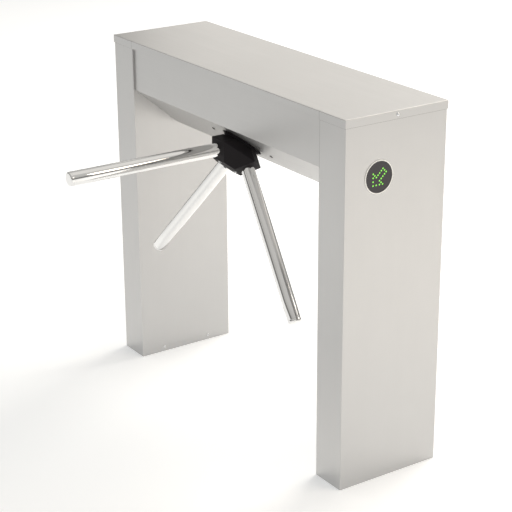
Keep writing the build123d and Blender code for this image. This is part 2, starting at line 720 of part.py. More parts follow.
def damper_body():
    """Rotary damper with its flange on the rear plate."""
    z = REAR_PLATE_Z
    body = rod(26, z - 5, z, 0, GEAR_CENTRES) + rod(21, z - 36, z - 5, 0, GEAR_CENTRES)
    return body - rod(5.08, z - 30, z + 1, 0, GEAR_CENTRES)


def damper_pinion():
    """Pinion in mesh with the main gear, on the damper's shaft."""
    gap_faces_gear = -90 + 180 / PINION_TEETH
    face = gear_face(PINION_TEETH, gap_faces_gear)
    pinion = Pos(0, GEAR_CENTRES, GEAR_Z) * extrude(face, DISC_THICK)
    return pinion + rod(5, REAR_PLATE_Z - 28, GEAR_Z, 0, GEAR_CENTRES)


def counter_sensor():
    """Forked optical sensor astride the slotted disc, on a foot from the rear plate."""
    low, high = COUNTER_Z - 8, REAR_PLATE_Z
    body = block(38, 54, -8, 8, low, high) + block(28, 38, -8, 8, low, COUNTER_Z - 3)
    return body + block(28, 38, -8, 8, COUNTER_Z + 3, COUNTER_Z + 5)


# ---------------------------------------------------------------- electronics

def electronics_tray():
    """Sheet tray on the beam's back wall."""
    y = BEAM_Y - SHEET
    return block(-420, -130, y - 2, y, 770, 965) + block(130, 420, y - 2, y, 770, 965)


def control_board():
    """Circuit board on four posts, with a processor, relays and a terminal strip."""
    y = BEAM_Y - SHEET - 2
    body = block(-390, -190, y - 11.6, y - 10, 800, 930)
    for x in (-380, -200):
        for z in (810, 920):
            body += rod_y(3, y - 10, y, x, z)
    body += block(-320, -290, y - 14, y - 11.6, 860, 890)
    for k in range(4):
        body += block(-250 + 14 * k, -240 + 14 * k, y - 26, y - 11.6, 890, 912)
    return body + block(-370, -210, y - 22, y - 11.6, 804, 816)


def power_supply():
    """Enclosed power supply with a vented case."""
    y = BEAM_Y - SHEET - 2
    case = block(180, 360, y - 42, y, 800, 900)
    for k in range(10):
        case -= block(200 + 14 * k, 206 + 14 * k, y - 43, y - 41, 820, 880)
    return case


def build():
    os.makedirs("parts", exist_ok=True)
    for side, place in (("right", lambda s: s), ("left", other_side)):
        save(place(leg_shell()), f"{side}_leg_shell")
        save(place(leg_panel()), f"{side}_leg_panel")
        save(place(base_plate()), f"{side}_base_plate")
        save(place(indicator_bezel()), f"{side}_indicator_bezel")
        save(place(indicator_lens()), f"{side}_indicator_lens")
        save(on_axis(place(pawl())), f"{side}_pawl")
        save(on_axis(place(solenoid())), f"{side}_solenoid_frame")
        save(on_axis(place(plunger())), f"{side}_plunger")
    for shape, name in (
        (base_screws(), "base_screws"),
        (beam_bracket(), "beam_brackets"),
        (indicator_board(), "indicator_boards"),
        (indicator_leds(), "indicator_leds"),
    ):
        save(group([shape, other_side(shape)]), name)
    coil_ = on_axis(solenoid_coil())
    save(group([coil_, other_side(coil_)]), "solenoid_coils")
    save(beam_front_panel(), "beam_front_panel")
    save(beam_back_panel(), "beam_back_panel")
    save(bracket_bolts(), "beam_bolts")
    save(lid_cover(), "lid_cover")
    save(lid_stiffeners(), "lid_stiffeners")
    save(lid_screws(), "lid_screws")
    save(on_axis(hub()), "hub")
    save(on_axis(clamp_screws()), "arm_clamp_screws")
    for k in range(3):
        save(on_axis(arm_tube(k)), f"arm_{k + 1}_tube")
        save(on_axis(arm_cap(k)), f"arm_{k + 1}_end_cap")
    save(on_axis(main_shaft()), "main_shaft")
    save(on_axis(index_cam()), "index_cam")
    save(on_axis(lock_disc()), "lock_disc")
    save(on_axis(main_gear()), "main_gear")
    save(on_axis(shaft_spacers()), "shaft_spacers")
    save(on_axis(counter_disc()), "counter_disc")
    save(on_axis(shaft_nut()), "shaft_nut")
    save(on_axis(front_plate()), "mechanism_front_plate")
    save(on_axis(rear_plate()), "mechanism_rear_plate")
    save(on_axis(pivot_pins()), "pivot_pins")
    save(on_axis(group([bearing(-40), bearing(-100)])), "shaft_bearings")
    save(on_axis(cage_posts()), "mechanism_posts")
    save(on_axis(mount_spacers()), "mechanism_spacers")
    save(on_axis(mount_bolts()), "mechanism_bolts")
    save(on_axis(group([lever_plate()])), "index_lever")
    save(on_axis(roller_pin()), "roller_pin")
    save(on_axis(cam_roller()), "cam_roller")
    save(on_axis(return_springs()), "return_springs")
    save(on_axis(damper_body()), "damper_body")
    save(on_axis(damper_pinion()), "damper_pinion")
    save(on_axis(counter_sensor()), "counter_sensor")
    save(group([electronics_tray()]), "electronics_tray")
    save(control_board(), "control_board")
    save(power_supply(), "power_supply")


build()
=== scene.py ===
# %% [markdown]
# # A tripod turnstile, finished in Blender
# The cabinet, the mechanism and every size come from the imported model. This lesson gives each surface
# its finish, makes the shining arms, the lit arrows and the small parts that repeat, and sets up a
# plain studio. Everything is in metres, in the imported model's own frame.

# %% Load the frame
import json
import math

import bpy
from mathutils import Matrix, Vector


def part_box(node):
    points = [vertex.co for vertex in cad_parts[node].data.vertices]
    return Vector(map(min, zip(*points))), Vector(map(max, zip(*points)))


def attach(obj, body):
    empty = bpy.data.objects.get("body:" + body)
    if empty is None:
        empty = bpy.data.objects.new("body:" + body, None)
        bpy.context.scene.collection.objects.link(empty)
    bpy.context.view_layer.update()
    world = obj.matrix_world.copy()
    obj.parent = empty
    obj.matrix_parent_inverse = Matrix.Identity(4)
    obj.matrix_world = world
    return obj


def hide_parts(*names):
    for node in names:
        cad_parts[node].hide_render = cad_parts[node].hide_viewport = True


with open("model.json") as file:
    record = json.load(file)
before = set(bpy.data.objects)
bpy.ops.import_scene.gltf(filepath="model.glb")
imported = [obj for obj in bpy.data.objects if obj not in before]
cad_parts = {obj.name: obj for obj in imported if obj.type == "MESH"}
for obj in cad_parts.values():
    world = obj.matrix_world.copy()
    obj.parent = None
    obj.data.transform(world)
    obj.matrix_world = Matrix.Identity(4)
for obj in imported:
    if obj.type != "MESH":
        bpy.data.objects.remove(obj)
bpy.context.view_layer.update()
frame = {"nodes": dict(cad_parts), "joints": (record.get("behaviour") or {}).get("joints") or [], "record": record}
MM = 0.001

# %% [markdown]
# ## The tripod's own axes
# The arms turn about an axis that leans out of the slanted face. Positions on the mechanism are easier
# to say along that axis, so a small matrix is made from the joint that the model already holds.

# %% Make the axis frame
spin = next(joint for joint in frame["joints"] if joint["name"] == "tripod_spin")
AXIS_OUT = Vector(spin["axis"]).normalized()
ACROSS = Vector((1, 0, 0))
UPHILL = AXIS_OUT.cross(ACROSS)
AXIS_TURN = Matrix((ACROSS, UPHILL, AXIS_OUT)).transposed().to_4x4()
AXIS_FRAME = Matrix.Translation(Vector(spin["pos_m"])) @ AXIS_TURN
TILT = math.asin(-AXIS_OUT.z)
print("axis leans", round(math.degrees(TILT), 1), "degrees below level")

# %% [markdown]
# ## Sums on sockets
# A finish is easier to read as arithmetic than as a list of links. `Wire` holds one output socket, and
# each operator adds the Math node that does it. The reflected forms let a plain number come first.

# %% Wrap a socket
class Wire:
    """One value on its way through the nodes."""

    def __init__(self, finish, socket):
        self.finish, self.socket = finish, socket

    def _sum(self, operation, first, second):
        return self.finish.node("ShaderNodeMath", {"operation": operation}, {0: first, 1: second})

    def __add__(self, other):
        return self._sum("ADD", self, other)

    def __radd__(self, other):
        return self._sum("ADD", other, self)

    def __sub__(self, other):
        return self._sum("SUBTRACT", self, other)

    def __rsub__(self, other):
        return self._sum("SUBTRACT", other, self)

    def __mul__(self, other):
        return self._sum("MULTIPLY", self, other)

    def __rmul__(self, other):
        return self._sum("MULTIPLY", other, self)

    def above(self, level):
        return self._sum("GREATER_THAN", self, level)

    def below(self, level):
        return self._sum("LESS_THAN", self, level)

    def size(self):
        """The value without its sign."""
        return self.finish.node("ShaderNodeMath", {"operation": "ABSOLUTE"}, {0: self})

    def clamp(self):
        return self.finish.node("ShaderNodeClamp", {}, {0: self})


# %% [markdown]
# ## One way to make a node
# `Finish` owns a material. Its `node` method sets a node's own settings first, then its inputs, and
# hands back the first output. The other methods are the few patterns that every finish here uses.

# %% Wrap a material
class Finish:
    """A procedural material for one kind of surface."""

    def __init__(self, name, colour=(0.8, 0.8, 0.8), roughness=0.5, metallic=0.0):
        self.material = bpy.data.materials.new(name)
        self.material.use_nodes = True
        self.tree = self.material.node_tree
        self.shader = next(n for n in self.tree.nodes if n.type == "BSDF_PRINCIPLED")
        self.feed("Base Color", (*colour, 1.0))
        self.feed("Roughness", roughness)
        self.feed("Metallic", metallic)
        self.material.diffuse_color = (*colour, 1.0)

    def node(self, kind, settings, values, output=0):
        node = self.tree.nodes.new(kind)
        for key, value in settings.items():
            if key == "stops":
                self._set_stops(node.color_ramp, value)
            else:
                setattr(node, key, value)
        for key, value in values.items():
            self._plug(node.inputs[key], value)
        return Wire(self, node.outputs[output])

    def _set_stops(self, ramp, stops):
        while len(ramp.elements) < len(stops):
            ramp.elements.new(0.5)
        for element, (position, colour) in zip(ramp.elements, stops):
            element.position, element.color = position, (*colour, 1.0)

    def _plug(self, socket, value):
        if isinstance(value, Wire):
            self.tree.links.new(value.socket, socket)
        else:
            socket.default_value = value

    def feed(self, name, value):
        self._plug(self.shader.inputs[name], value)

    def place(self, stretch, source="Object", turn=(0, 0, 0)):
        """The piece's own coordinates, stretched so that a pattern runs long one way."""
        where = self.node("ShaderNodeTexCoord", {}, {}, source)
        return self.node("ShaderNodeMapping", {}, {"Vector": where, "Rotation": turn, "Scale": stretch})

    def axes(self):
        """The three parts of the piece's own coordinates, in metres."""
        where = self.node("ShaderNodeTexCoord", {}, {}, "Object")
        first = self.node("ShaderNodeSeparateXYZ", {}, {0: where}, "X")
        return [Wire(self, first.socket.node.outputs[axis]) for axis in "XYZ"]

    def noise(self, stretch, detail=2.0, roughness=0.5, source="Object"):
        where = self.place(stretch, source)
        values = {"Vector": where, "Scale": 1.0, "Detail": detail, "Roughness": roughness}
        return self.node("ShaderNodeTexNoise", {}, values, "Fac")

    def blend(self, amount, low, high):
        """From one colour to another as amount goes from 0 to 1."""
        settings = {"data_type": "RGBA"}
        low, high = (end if isinstance(end, Wire) else (*end, 1.0) for end in (low, high))
        values = {"Factor": amount, 6: low, 7: high}
        return self.node("ShaderNodeMix", settings, values, 2)

    def ramp(self, amount, stops):
        return self.node("ShaderNodeValToRGB", {"stops": stops}, {"Fac": amount})

    def bump(self, height, depth_mm, strength=1.0):
        values = {"Height": height, "Distance": depth_mm * MM, "Strength": strength}
        self.feed("Normal", self.node("ShaderNodeBump", {}, values))


# %% [markdown]
# ## Satin stainless sheet
# The cabinet is cold-rolled stainless, dressed with a fine abrasive belt. The belt leaves hairlines
# that all run one way: along the beam on the lid and the beam, and up and down on the legs. Hairlines
# change how sharply the sheet shines more than its colour, so they go mostly to the roughness, with a
# bump of a few thousandths of a millimetre. Slow clouds stand for handling and wiping. A fine dark line
# of painted shade is laid under the lid's skirt and beside each leg where the beam meets it: it paints
# the shadow under the lid's overhang and in the seam.

# %% Make the satin steel
STEEL = (0.565, 0.560, 0.553)
STEEL_SHADE = (0.525, 0.520, 0.514)
# Painted shade: colour, width and strength of the dark line under the lid's skirt and beside each leg.
PAINTED_SHADE = (0.16, 0.155, 0.15)
PAINTED_SHADE_WIDTH = 1.3 * MM
PAINTED_SHADE_COVER = 0.8
BEAM_FOLD = 0.854
HAIRLINES, HAIRLINE_LENGTH = 900.0, 6.0
BELTS, BELT_LENGTH = 160.0, 1.5


def painted_shade_lines(finish):
    """1 where shade is painted as a fine dark line: under the lid's skirt, and where the beam meets the front of
    each leg.
    """
    x, y, z = finish.axes()
    skirt_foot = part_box("lid_cover")[0][2]
    beam_front, leg_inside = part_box("beam_front_panel")[0][1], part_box("right_leg_shell")[0][0]
    under_skirt = z.above(skirt_foot - PAINTED_SHADE_WIDTH) * z.below(skirt_foot)
    beside_leg = x.size().above(leg_inside - 0.2 * MM) * x.size().below(leg_inside + PAINTED_SHADE_WIDTH)
    corner = beside_leg * y.below(beam_front + 0.4 * MM) * z.above(BEAM_FOLD)
    return (under_skirt + corner * 0.6).clamp()


def satin_steel(name, grain, roughness=0.36):
    finish = Finish(name, STEEL, roughness, metallic=1.0)
    hairlines = finish.noise([HAIRLINE_LENGTH if axis == grain else HAIRLINES for axis in "XYZ"])
    belts = finish.noise([BELT_LENGTH if axis == grain else BELTS for axis in "XYZ"])
    clouds = finish.noise((3.5, 3.5, 3.5), detail=4.0)
    wipes = finish.noise((14.0, 14.0, 9.0), detail=5.0, roughness=0.65)
    varied = (hairlines - 0.5) * 0.16 + (belts - 0.5) * 0.08 + (clouds - 0.5) * 0.10
    finish.feed("Roughness", varied + roughness)
    tone = ((clouds * 0.5 + wipes * 0.25 + hairlines * 0.25 - 0.5) * 2.2 + 0.5).clamp()
    sheet = finish.blend(tone, STEEL_SHADE, STEEL)
    # Painted shade: the sheet is darkened along a fine line under the lid's skirt and at the beam-to-leg seams,
    # for the shadow there.
    finish.feed("Base Color", finish.blend(painted_shade_lines(finish) * PAINTED_SHADE_COVER, sheet, PAINTED_SHADE))
    finish.bump(hairlines * 0.7 + belts * 0.3, 0.006)
    return finish.material


steel_along_x = satin_steel("satin_steel_beam", "X")
steel_along_z = satin_steel("satin_steel_leg", "Z")
print("made", steel_along_x.name, steel_along_z.name)

# %% [markdown]
# ## Polished tube
# The arms are the bright part: mirror-polished tube that mirrors the studio in long streaks. Real tube
# still has faint polishing rings and the haze of many hands near its end, so both are laid on the
# tube's own UV map, which runs once round and once along.

# %% Make the polish
POLISH = (0.86, 0.855, 0.845)


def polished_tube():
    finish = Finish("polished_tube", POLISH, 0.08, metallic=1.0)
    rings = finish.noise((3.0, 900.0, 1.0), source="UV")
    haze = finish.noise((5.0, 9.0, 1.0), detail=5.0, roughness=0.6, source="UV")
    marks = finish.ramp(haze, [(0.52, (0, 0, 0)), (0.72, (1, 1, 1))])
    finish.feed("Roughness", rings * 0.02 + marks * 0.07 + 0.055)
    finish.feed("Base Color", finish.blend(marks * 0.5, POLISH, (0.80, 0.795, 0.78)))
    finish.bump(rings, 0.001)
    return finish.material


polish = polished_tube()

# %% [markdown]
# ## Black coating
# The hub is an aluminium casting under a matte black powder coat. Powder flows into a fine orange peel
# as it cures, and the edges that people brush against wear a little smoother.

# %% Make the powder coat
def powder_coat(name, colour, worn, roughness=0.55, grain=1400.0):
    finish = Finish(name, colour, roughness)
    finish.feed("Specular IOR Level", 0.18)
    peel = finish.noise((grain, grain, grain))
    broad = finish.noise((45.0, 45.0, 45.0), detail=3.0)
    finish.feed("Base Color", finish.blend(broad * 0.8 + peel * 0.2, colour, worn))
    finish.feed("Roughness", (broad - 0.5) * 0.14 + (peel - 0.5) * 0.1 + roughness)
    finish.bump(peel, 0.03, 0.5)
    return finish.material


hub_black = powder_coat("hub_black", (0.0125, 0.0105, 0.0120), (0.0170, 0.0145, 0.0160), 0.66)

# %% [markdown]
# ## Metals inside
# Machined and plated parts share one recipe: turning marks or rolling lines, a little blotching from
# oil, and a tone of their own. Only the numbers differ, so one function takes them.

# %% Make the workshop metals
def workshop_metal(name, colour, roughness, stretch, blotch=0.12, depth=0.01):
    finish = Finish(name, colour, roughness, metallic=1.0)
    marks = finish.noise(stretch)
    oil = finish.noise((30.0, 30.0, 30.0), detail=4.0, roughness=0.6)
    darker = tuple(channel * (1 - blotch) for channel in colour)
    finish.feed("Base Color", finish.blend((oil * 0.7 + marks * 0.3), darker, colour))
    finish.feed("Roughness", (marks - 0.5) * 0.14 + (oil - 0.5) * 0.16 + roughness)
    finish.bump(marks, depth)
    return finish.material


machined = workshop_metal("machined_steel", (0.50, 0.50, 0.495), 0.32, (500.0, 500.0, 500.0))
zinc = workshop_metal("bright_zinc", (0.84, 0.85, 0.86), 0.26, (350.0, 350.0, 350.0), 0.08)
aluminium = workshop_metal("mill_aluminium", (0.70, 0.705, 0.71), 0.42, (8.0, 700.0, 700.0), 0.08)
brass = workshop_metal("sintered_bronze", (0.62, 0.43, 0.20), 0.36, (600.0, 600.0, 600.0), 0.2)
dark_screw = workshop_metal("blackened_screw", (0.16, 0.155, 0.15), 0.38, (500.0, 500.0, 500.0), 0.2)

# %% [markdown]
# ## Plastics and boards
# Moulded plastic has a spark-eroded grain. A circuit board is green lacquer over copper tracks, so the
# tracks show as slightly raised, lighter bands: a brick pattern gives straight tracks cheaply.

# %% Make the plastics
def moulded(name, colour, roughness, grain=1600.0):
    finish = Finish(name, colour, roughness)
    texture = finish.noise((grain, grain, grain), detail=1.0)
    broad = finish.noise((60.0, 60.0, 60.0), detail=3.0)
    lighter = tuple(channel * 1.25 + 0.004 for channel in colour)
    finish.feed("Base Color", finish.blend(broad, colour, lighter))
    finish.feed("Roughness", (broad - 0.5) * 0.10 + (texture - 0.5) * 0.08 + roughness)
    finish.bump(texture, 0.01, 0.4)
    return finish.material


def circuit_board():
    finish = Finish("circuit_board", (0.03, 0.16, 0.06), 0.35)
    upright = finish.place((1.0, 1.0, 1.0), turn=(math.radians(90), 0, 0))
    values = {
        "Vector": upright, "Scale": 90.0, "Mortar Size": 0.06,
        "Color1": (0, 0, 0, 1), "Color2": (0, 0, 0, 1), "Mortar": (1, 1, 1, 1),
    }
    tracks = finish.node("ShaderNodeTexBrick", {"offset": 0.5}, values, "Fac")
    finish.feed("Base Color", finish.blend(tracks, (0.02, 0.13, 0.05), (0.10, 0.30, 0.10)))
    finish.feed("Roughness", tracks * 0.15 + 0.3)
    finish.bump(tracks, 0.04)
    return finish.material


black_plastic = moulded("black_plastic", (0.022, 0.022, 0.023), 0.48)
smoked_lens = moulded("smoked_lens", (0.030, 0.026, 0.030), 0.42, 300.0)
pale_ring = moulded("pale_ring", (0.86, 0.85, 0.81), 0.38)
nylon = moulded("natural_nylon", (0.60, 0.57, 0.50), 0.45)
board_green = circuit_board()

# %% [markdown]
# ## Lit lamps and wound wire
# The lamps glow: their colour goes to the emission, a little brighter than the moulding and finely
# speckled, and the plastic body still shines. Enamelled copper wire is a clear brown lacquer
# over metal.

# %% Make the lamps' light
def lit_lamp():
    finish = Finish("green_lamp", (0.20, 0.62, 0.08), 0.3)
    speckle = finish.noise((900.0, 900.0, 900.0), detail=1.0)
    finish.feed("Emission Color", finish.blend(speckle, (0.20, 0.72, 0.05), (0.34, 0.86, 0.12)))
    finish.feed("Emission Strength", 0.76)
    finish.feed("Roughness", speckle * 0.1 + 0.25)
    return finish.material


def enamelled_copper():
    finish = Finish("enamelled_copper", (0.52, 0.20, 0.07), 0.28, metallic=1.0)
    drawn = finish.noise((700.0, 700.0, 700.0))
    finish.feed("Base Color", finish.blend(drawn, (0.42, 0.15, 0.05), (0.60, 0.26, 0.10)))
    finish.feed("Roughness", drawn * 0.12 + 0.22)
    finish.feed("Coat Weight", 0.6)
    finish.bump(drawn, 0.004)
    return finish.material


green_lamp = lit_lamp()
copper = enamelled_copper()

# %% [markdown]
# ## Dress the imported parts
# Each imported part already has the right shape, so it only takes a finish. The record says which slot a
# part belongs to. A few parts differ from their slot's finish, and the grain must follow each sheet, so
# those are named first.

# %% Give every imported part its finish
SLOT_FINISH = {
    "satin_steel": steel_along_x, "polished_chrome": polish, "black_paint": hub_black,
    "dark_lens": smoked_lens, "pale_bezel": pale_ring, "green_lamp": green_lamp,
    "circuit_board": board_green, "copper_winding": copper, "black_plastic": black_plastic,
    "zinc_steel": zinc, "plain_aluminium": aluminium, "machined_steel": machined,
}
OWN_FINISH = {
    "left_leg_shell": steel_along_z, "right_leg_shell": steel_along_z,
    "left_leg_panel": steel_along_z, "right_leg_panel": steel_along_z,
    "mechanism_bolts": dark_screw, "cam_roller": nylon, "damper_pinion": nylon, "shaft_spacers": brass,
}
for part in frame["record"]["subparts"]:
    packed = frame["nodes"][part["node"]]
    packed.data.materials.clear()
    packed.data.materials.append(OWN_FINISH.get(part["node"], SLOT_FINISH[part["material_slot"]]))

# %% [markdown]
# ## Turning a profile
# A tube with a rounded end is a profile turned about its own length. Writing the ring of points one by one
# gives even faces, a UV map that follows the tube, and a closed end with no seam.

# %% Turn a profile
def turned(name, profile, matrix, sides=64):
    """A mesh turned from (radius, height) pairs, closed where the radius is 0, with a UV map."""
    rings, faces, points = [], [], []
    for radius, height in profile:
        if radius == 0:
            rings.append([len(points)])
            points.append((0, 0, height))
        else:
            rings.append(list(range(len(points), len(points) + sides)))
            for n in range(sides):
                angle = 2 * math.pi * n / sides
                points.append((radius * math.cos(angle), radius * math.sin(angle), height))
    for low, high in zip(rings, rings[1:]):
        for n in range(sides):
            after = (n + 1) % sides
            if len(low) == 1:
                faces.append((low[0], high[after], high[n]))
            elif len(high) == 1:
                faces.append((low[n], low[after], high[0]))
            else:
                faces.append((low[n], low[after], high[after], high[n]))
    mesh = bpy.data.meshes.new(name)
    mesh.from_pydata([matrix @ Vector(p) for p in points], [], faces)
    lay_uv(mesh, points, max(height for _, height in profile))
    finish_mesh(mesh, 35)
    return mesh


def lay_uv(mesh, points, length):
    """u runs once round the turned piece, v once along it."""
    layer = mesh.uv_layers.new(name="round_and_along")
    for face in mesh.polygons:
        turns = [math.atan2(points[v][1], points[v][0]) / (2 * math.pi) % 1.0 for v in face.vertices]
        wraps = max(turns) - min(turns) > 0.5
        for corner, vertex, turn in zip(face.loop_indices, face.vertices, turns):
            once_more = 1.0 if wraps and turn < 0.5 else 0.0
            layer.data[corner].uv = (turn + once_more, points[vertex][2] / length)


def finish_mesh(mesh, crease):
    """Smooth shading, broken where faces meet at more than that many degrees."""
    mesh.shade_smooth()
    mesh.set_sharp_from_angle(angle=math.radians(crease))
    mesh.update()


def piece(name, mesh, finish, body, slot, *stands_for):
    """A finished piece: shown, dressed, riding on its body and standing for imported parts."""
    made = bpy.data.objects.new(name, mesh)
    bpy.context.scene.collection.objects.link(made)
    mesh.materials.clear()
    mesh.materials.append(finish)
    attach(made, body)
    if stands_for:
        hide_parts(*stands_for)
    print(name, len(mesh.polygons), "faces")
    return made


# %% [markdown]
# ## The three arms
# Each arm is one length of 38 mm tube with a plug pressed into its end. The plug's rim is rounded and
# stands a hair below the tube's diameter, which draws a fine line round the end. The tube's own mouth
# is slightly broken, as a deburred edge is.

# %% Make the arms
ARM_RADIUS, ARM_WALL = 19.0, 1.5
ARM_START, ARM_END, CAP_LENGTH = 45.0, 527.0, 8.0
ARMS_MEET = 8.5


def arm_matrix(number):
    """Millimetres along arm number, from where the arms meet, to metres in the frame."""
    turn = math.radians(90 + 120 * (number - 1))
    sideways = math.sin(TILT)
    along = Vector((sideways * math.cos(turn), sideways * math.sin(turn), math.cos(TILT)))
    around = Vector((math.sin(turn), -math.cos(turn), 0))
    axes = Matrix((around, along.cross(around), along)).transposed().to_4x4()
    return AXIS_FRAME @ Matrix.Scale(MM, 4) @ Matrix.Translation((0, 0, ARMS_MEET)) @ axes


def quarter(radius, height, size, steps=6):
    """A rounded corner from the side of a turned piece to its top."""
    return [
        (radius - size + size * math.cos(a), height - size + size * math.sin(a))
        for a in (math.pi / 2 * n / steps for n in range(steps + 1))
    ]


def tube_profile():
    outer, inner, top = ARM_RADIUS, ARM_RADIUS - ARM_WALL, ARM_END - CAP_LENGTH
    wall = [(outer, ARM_START + 60 * n) for n in range(8)]
    mouth = [(outer, top - 0.5), (outer - 0.15, top - 0.15), (outer - 0.5, top)]
    return [(inner, ARM_START), *wall, *mouth, (inner, top), (inner, ARM_START)]


def cap_profile():
    foot, outer = ARM_END - CAP_LENGTH, ARM_RADIUS
    rim = quarter(outer - 0.05, ARM_END, 4.5)
    return [(0, foot), (outer - 0.6, foot), (outer - 0.1, foot + 0.4), *rim, (9, ARM_END), (0, ARM_END)]


for number in (1, 2, 3):
    place = arm_matrix(number)
    tube = turned(f"arm_{number}_polished_tube", tube_profile(), place)
    piece(tube.name, tube, polish, "tripod", "polished_chrome", f"arm_{number}_tube")
    cap = turned(f"arm_{number}_round_cap", cap_profile(), place)
    piece(cap.name, cap, polish, "tripod", "polished_chrome", f"arm_{number}_end_cap")

# %% [markdown]
# ## Growing what repeats
# Lamps, windings and small electronic parts are one shape many times over. A Geometry Nodes tree says
# the rule once. `Grower` makes a tree with named inputs for its sizes; `grow` runs it on a base mesh
# and keeps the plain mesh that comes out, so no modifier or instance is left.

# %% Wrap a geometry tree
class Grower:
    """A Geometry Nodes tree with named number inputs, ending in real faces with one finish."""

    def __init__(self, name, **sizes):
        self.tree = bpy.data.node_groups.new(name, "GeometryNodeTree")
        self.tree.interface.new_socket("Geometry", in_out="INPUT", socket_type="NodeSocketGeometry")
        self.tree.interface.new_socket("Geometry", in_out="OUTPUT", socket_type="NodeSocketGeometry")
        self.sizes = sizes
        self.sockets = {}
        for label, value in sizes.items():
            kind = "NodeSocketInt" if isinstance(value, int) else "NodeSocketFloat"
            socket = self.tree.interface.new_socket(label, in_out="INPUT", socket_type=kind)
            self.sockets[label] = socket.identifier
        self.start = self.tree.nodes.new("NodeGroupInput")

    def size(self, label):
        return self.start.outputs[label]

    def node(self, kind, settings, values, output=0):
        node = self.tree.nodes.new(kind)
        for key, value in settings.items():
            setattr(node, key, value)
        for key, value in values.items():
            if isinstance(value, bpy.types.NodeSocket):
                self.tree.links.new(value, node.inputs[key])
            else:
                node.inputs[key].default_value = value
        return node.outputs[output]

    def close(self, shapes, finish):
        real = self.node("GeometryNodeRealizeInstances", {}, {"Geometry": shapes})
        dressed = self.node("GeometryNodeSetMaterial", {}, {"Geometry": real, "Material": finish})
        end = self.tree.nodes.new("NodeGroupOutput")
        self.tree.links.new(dressed, end.inputs[0])

    def grow(self, name, base, crease=40):
        """Runs the tree on a base mesh and returns the plain mesh it makes."""
        holder = bpy.data.objects.new(name + "_holder", base)
        bpy.context.scene.collection.objects.link(holder)
        modifier = holder.modifiers.new("grow", "NODES")
        modifier.node_group = self.tree
        for label, value in self.sizes.items():
            modifier[self.sockets[label]] = value
        ready = holder.evaluated_get(bpy.context.evaluated_depsgraph_get())
        mesh = bpy.data.meshes.new_from_object(ready)
        mesh.name = name
        holder.modifiers.remove(modifier)
        bpy.data.objects.remove(holder)
        finish_mesh(mesh, crease)
        return mesh


# %% [markdown]
# ## The arrow of lamps
# Each end of the cabinet shows visitors the way with twenty domed lamps behind a drilled lens. The
# places of the lamps follow from the arrow's rule: two edges, two barbs and two lines of stem. A domed
# lamp is a short turned shape, and the tree stands one on each place.

# %% Grow the lamps
LAMP_PITCH, ARROW_TIP = 5.0 * MM, Vector((0, -18.0 * MM, -20.0 * MM))
LAMP_RADIUS, LAMP_LENGTH = 2.4 * MM, 10.3 * MM


def arrow_places():
    edges = [(0, k) for k in (0, 2, 4, 6)] + [(k, 0) for k in (2, 4, 6)]
    stem = [(2 + k, 4 + k) for k in range(5)] + [(4 + k, 2 + k) for k in range(5)]
    return edges + [(1, 5), (5, 1), (7, 7)] + stem


def lamp_points(side):
    low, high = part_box(f"{side}_indicator_lens")
    board_low, board_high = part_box("indicator_boards")
    middle = (Vector(low) + Vector(high)) / 2
    seat = board_high[0] if side == "right" else board_low[0]
    tip = Vector((seat, middle.y, middle.z)) + ARROW_TIP
    return [tip + Vector((0, i, j)) * LAMP_PITCH for i, j in arrow_places()]


def lamp_tree():
    grower = Grower("domed_lamps", Radius=LAMP_RADIUS, Length=LAMP_LENGTH, Lean=math.radians(90))
    stem = grower.node(
        "GeometryNodeMeshCylinder", {"fill_type": "NGON"},
        {"Vertices": 24, "Radius": grower.size("Radius"), "Depth": grower.size("Length")},
    )
    half = grower.node("ShaderNodeMath", {"operation": "MULTIPLY"}, {0: grower.size("Length"), 1: 0.5})
    lift = grower.node("ShaderNodeCombineXYZ", {}, {"Z": half})
    stem = grower.node("GeometryNodeTransform", {}, {"Geometry": stem, "Translation": lift})
    turn = grower.node("ShaderNodeCombineXYZ", {}, {"Y": grower.size("Lean")})
    lamps = grower.node(
        "GeometryNodeInstanceOnPoints", {},
        {"Points": grower.start.outputs["Geometry"], "Instance": stem, "Rotation": turn},
    )
    grower.close(lamps, green_lamp)
    return grower


def cloud(name, points):
    mesh = bpy.data.meshes.new(name)
    mesh.from_pydata([tuple(p) for p in points], [], [])
    return mesh


def soften(mesh, width, angle=50):
    """Rounds the sharp edges of a grown mesh with a Bevel modifier, then applies it."""
    holder = bpy.data.objects.new("soften", mesh)
    bpy.context.scene.collection.objects.link(holder)
    bevel = holder.modifiers.new("round", "BEVEL")
    bevel.width, bevel.segments, bevel.limit_method = width, 3, "ANGLE"
    bevel.angle_limit = math.radians(angle)
    rounded = bpy.data.meshes.new_from_object(holder.evaluated_get(bpy.context.evaluated_depsgraph_get()))
    bpy.data.objects.remove(holder)
    finish_mesh(rounded, 60)
    return rounded


lamps = lamp_tree()
both_sides = []
for side, lean in (("right", 90), ("left", -90)):
    lamps.sizes["Lean"] = math.radians(lean)
    both_sides.append(lamps.grow(f"{side}_lamps", cloud(f"{side}_places", lamp_points(side))))


def joined(name, meshes):
    """One mesh from several."""
    points, faces = [], []
    for mesh in meshes:
        start = len(points)
        points += [tuple(v.co) for v in mesh.vertices]
        faces += [tuple(start + v for v in face.vertices) for face in mesh.polygons]
    whole = bpy.data.meshes.new(name)
    whole.from_pydata(points, [], faces)
    return whole


arrow = soften(joined("arrow_lamps", both_sides), 0.9 * MM)
piece("arrow_lamps", arrow, green_lamp, "cabinet", "green_lamp", "indicator_leds")

# %% [markdown]
# ## The solenoids' windings
# A solenoid is a bobbin wound with enamelled wire. The tree sets rings of wire side by side along the
# bobbin; at this size separate rings look the same as one long helix and stay closed and simple.

# %% Wind the solenoids
SOLENOID = Vector((98.0, 2.5, -62.0))
COIL_LENGTH, COIL_RADIUS, WIRE = 43.0, 12.0, 0.85
BOBBIN_BORE, BOBBIN_CORE, BOBBIN_END = 6.1, 9.6, 2.0


